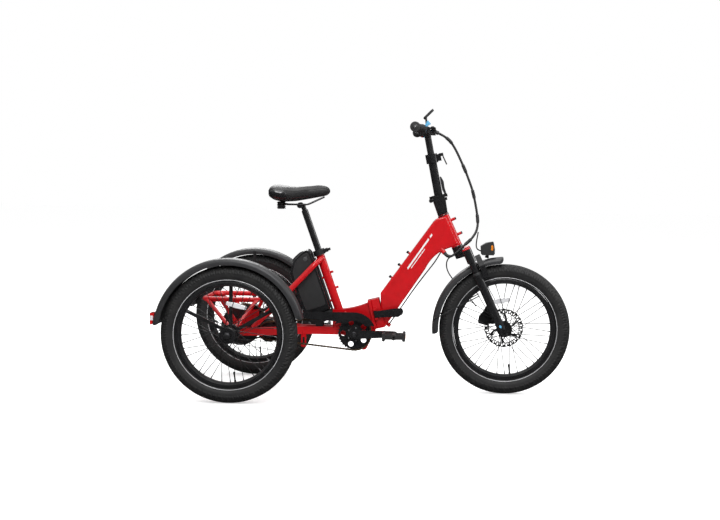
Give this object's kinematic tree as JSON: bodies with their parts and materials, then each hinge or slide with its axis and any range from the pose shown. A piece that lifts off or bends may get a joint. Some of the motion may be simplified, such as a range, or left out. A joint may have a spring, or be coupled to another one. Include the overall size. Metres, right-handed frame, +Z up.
{
  "type": "adult tricycle",
  "caption": "Electric adult tricycle with a low folding step-through frame, fat tyres, a sprung fork, a seat-tube battery and driven rear wheels under fenders.",
  "frame": {"origin": "on the ground, under the middle of the length and width", "axes": "+X forward, +Y to the rider's left, +Z up"},
  "size_m": [1.64, 0.821, 1.1533],
  "materials": {
    "red_paint": "gloss",
    "black_paint": "satin",
    "black_plastic": "satin",
    "rubber": "matt",
    "tyre": "matt",
    "steel": "brushed",
    "chain": "bronzed",
    "brake_alloy": "anodised",
    "blue_plastic": "gloss",
    "leather": "grained",
    "tail_lens": "gloss"
  },
  "bodies": {
    "rear_frame": {"rear_frame": "red_paint", "bearings": "steel", "seat_collar": "black_paint", "battery_dock": "black_plastic", "chain_guard": "black_plastic", "chains": "chain", "drive_motor": "black_paint", "rear_caliper": "brake_alloy", "rear_fender_right": "black_plastic", "rear_fender_left": "black_plastic", "fender_stays": "steel", "tail_lights": "tail_lens"},
    "battery": {"battery": "black_plastic"},
    "crank": {"crankset_right": "black_paint", "crank_left": "black_paint"},
    "pedal_right": {"pedal_right": "black_plastic"},
    "pedal_left": {"pedal_left": "black_plastic"},
    "jackshaft": {"jackshaft": "steel"},
    "differential": {"differential": "steel"},
    "wheel_rear_right": {"rear_tyre_right": "tyre", "rear_rim_right": "black_paint", "rear_hub_right": "black_paint", "rear_spokes_right": "steel"},
    "wheel_rear_left": {"rear_tyre_left": "tyre", "rear_rim_left": "black_paint", "rear_hub_left": "black_paint", "rear_spokes_left": "steel"},
    "front_frame": {"front_frame": "red_paint", "frame_cable": "rubber"},
    "frame_latch": {"frame_latch": "black_paint"},
    "steerer": {"fork_crown": "black_paint", "stem_base": "black_paint", "cable_bundle_lower": "rubber", "brake_hose": "rubber", "lamp_cable": "rubber"},
    "fork_lowers": {"fork_lowers": "black_paint", "front_caliper": "brake_alloy", "front_fender": "black_plastic", "headlamp": "black_plastic"},
    "front_wheel": {"front_tyre": "tyre", "front_rim": "black_paint", "front_hub": "black_paint", "front_spokes": "steel", "front_rotor": "steel"},
    "stem_post": {"stem_post": "black_paint", "cable_bundle_middle": "rubber"},
    "stem_latch": {"stem_latch": "black_paint"},
    "stem_clamp_lever": {"stem_clamp_lever": "black_paint"},
    "handlebar": {"handlebar_stem": "black_paint", "handlebar": "black_paint", "grips": "rubber", "control_clamps": "black_plastic", "display": "black_plastic", "cable_bundle_upper": "rubber"},
    "brake_lever_right": {"brake_lever_right": "brake_alloy"},
    "brake_lever_left": {"brake_lever_left": "brake_alloy"},
    "throttle": {"throttle_lever": "blue_plastic"},
    "seat": {"saddle": "leather", "seatpost": "black_paint"},
    "seat_clamp_lever": {"seat_clamp_lever": "black_paint"}
  },
  "joints": [
    {"name": "frame_fold", "type": "hinge", "parent": "rear_frame", "child": "front_frame", "pos_m": [0.024, 0.045, 0.318], "axis": [-0.2284, 0, 0.9736], "range_deg": [0, 110]},
    {"name": "frame_latch_open", "type": "hinge", "parent": "front_frame", "child": "frame_latch", "pos_m": [0.0313, -0.046, 0.31971], "axis": [0.2284, 0, -0.9736], "range_deg": [0, 100]},
    {"name": "steering", "type": "hinge", "parent": "front_frame", "child": "steerer", "pos_m": [0.328, 0, 0.662], "axis": [-0.4195, 0, 0.9078], "range_deg": [-40, 40], "deforming": ["cable_bundle_lower"]},
    {"name": "fork_travel", "type": "slide", "parent": "steerer", "child": "fork_lowers", "axis": [-0.4195, 0, 0.9078], "range_m": [0, 0.04], "stiffness_N_per_m": 10000, "springref_m": -0.05, "deforming": ["brake_hose", "lamp_cable"]},
    {"name": "front_wheel_spin", "type": "hinge", "parent": "fork_lowers", "child": "front_wheel", "pos_m": [0.555, 0, 0.265], "axis": [0, 1, 0], "continuous": true},
    {"name": "stem_fold", "type": "hinge", "parent": "steerer", "child": "stem_post", "pos_m": [0.24783, 0, 0.78245], "axis": [0, -1, 0], "range_deg": [0, 110], "deforming": ["cable_bundle_middle"]},
    {"name": "stem_latch_open", "type": "hinge", "parent": "stem_post", "child": "stem_latch", "pos_m": [0.30844, 0, 0.80578], "axis": [0, 1, 0], "range_deg": [0, 100]},
    {"name": "stem_clamp_open", "type": "hinge", "parent": "stem_post", "child": "stem_clamp_lever", "pos_m": [0.29013, 0, 0.9714], "axis": [0, -1, 0], "range_deg": [0, 110]},
    {"name": "stem_height", "type": "slide", "parent": "stem_post", "child": "handlebar", "axis": [-0.1959, 0, 0.9806], "range_m": [-0.05, 0.06], "deforming": ["cable_bundle_upper"]},
    {"name": "brake_pull_right", "type": "hinge", "parent": "handlebar", "child": "brake_lever_right", "pos_m": [0.24935, -0.15063, 1.0639], "axis": [0, 0.033, 0.9995], "range_deg": [-15, 0], "stiffness_Nm_per_rad": 0.4, "springref_deg": 17.19},
    {"name": "brake_pull_left", "type": "hinge", "parent": "handlebar", "child": "brake_lever_left", "pos_m": [0.24935, 0.15063, 1.0639], "axis": [0, 0.033, -0.9995], "range_deg": [0, 15], "stiffness_Nm_per_rad": 0.4, "springref_deg": -17.19},
    {"name": "throttle_turn", "type": "hinge", "parent": "handlebar", "child": "throttle", "pos_m": [0.20918, -0.17323, 1.06464], "axis": [-0.1947, -0.9803, 0.0324], "range_deg": [0, 40], "stiffness_Nm_per_rad": 0.08, "springref_deg": -17.19},
    {"name": "crank_spin", "type": "hinge", "parent": "rear_frame", "child": "crank", "pos_m": [-0.053, 0, 0.241], "axis": [0, 1, 0], "continuous": true},
    {"name": "pedal_spin_right", "type": "hinge", "parent": "crank", "child": "pedal_right", "pos_m": [0.11, -0.15, 0.245], "axis": [0, 1, 0], "continuous": true},
    {"name": "pedal_spin_left", "type": "hinge", "parent": "crank", "child": "pedal_left", "pos_m": [-0.216, 0.15, 0.245], "axis": [0, 1, 0], "continuous": true},
    {"name": "jackshaft_spin", "type": "hinge", "parent": "rear_frame", "child": "jackshaft", "pos_m": [-0.405, 0, 0.245], "axis": [0, 1, 0], "continuous": true},
    {"name": "differential_spin", "type": "hinge", "parent": "rear_frame", "child": "differential", "pos_m": [-0.517, 0, 0.265], "axis": [0, 1, 0], "continuous": true},
    {"name": "rear_wheel_spin_right", "type": "hinge", "parent": "rear_frame", "child": "wheel_rear_right", "pos_m": [-0.517, -0.3575, 0.265], "axis": [0, 1, 0], "continuous": true},
    {"name": "rear_wheel_spin_left", "type": "hinge", "parent": "rear_frame", "child": "wheel_rear_left", "pos_m": [-0.517, 0.3575, 0.265], "axis": [0, 1, 0], "continuous": true},
    {"name": "seat_height", "type": "slide", "parent": "rear_frame", "child": "seat", "axis": [-0.3387, 0, 0.9409], "range_m": [-0.1, 0.08]},
    {"name": "seat_clamp_open", "type": "hinge", "parent": "rear_frame", "child": "seat_clamp_lever", "pos_m": [-0.17726, 0.016, 0.57484], "axis": [-0.3387, 0, 0.9409], "range_deg": [0, 100]},
    {"name": "battery_slide", "type": "slide", "parent": "rear_frame", "child": "battery", "axis": [-0.3387, 0, 0.9409], "range_m": [0, 0.15]}
  ],
  "couplings": [
    {"joint": "jackshaft_spin", "follows": "crank_spin", "ratio": 2},
    {"joint": "differential_spin", "follows": "crank_spin", "ratio": 0.66667}
  ]
}
